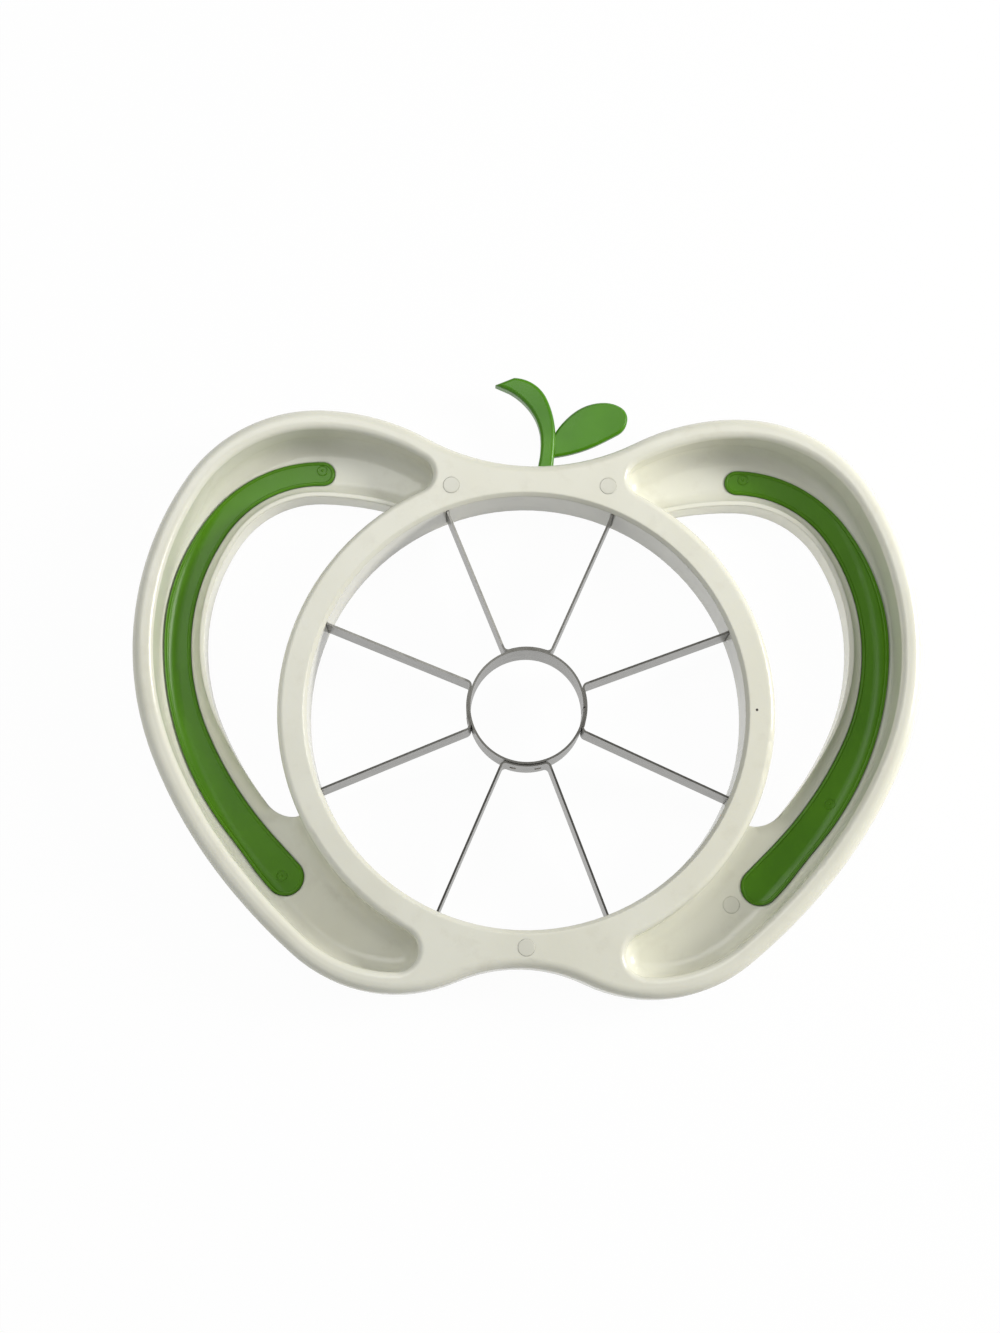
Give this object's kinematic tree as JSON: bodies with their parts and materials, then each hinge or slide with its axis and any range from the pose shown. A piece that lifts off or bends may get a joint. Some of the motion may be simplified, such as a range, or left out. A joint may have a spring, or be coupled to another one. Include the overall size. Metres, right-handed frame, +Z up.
{
  "type": "apple slicer and corer",
  "caption": "Hand-pushed apple slicer and corer: apple-shaped moulded frame with looped handles, soft grips, steel blade strips round a core ring, and a stem with a leaf.",
  "frame": {"origin": "middle of the footprint at the board, under the apple-shaped frame", "axes": "+Z up from the board towards the face with the grips, +Y towards the stem, +X to the right as the leaf points"},
  "size_m": [0.189, 0.152, 0.0198],
  "materials": {
    "ivory_plastic": "glossy moulded",
    "green_grip": "soft satin",
    "green_plastic": "satin",
    "steel": "bright rolled"
  },
  "bodies": {
    "root": {"frame": "ivory_plastic", "left_grip": "green_grip", "right_grip": "green_grip", "stem_and_leaf": "green_plastic", "core_ring": "steel", "blade_strip_right": "steel", "blade_strip_top": "steel", "blade_strip_left": "steel", "blade_strip_bottom": "steel"}
  },
  "joints": []
}
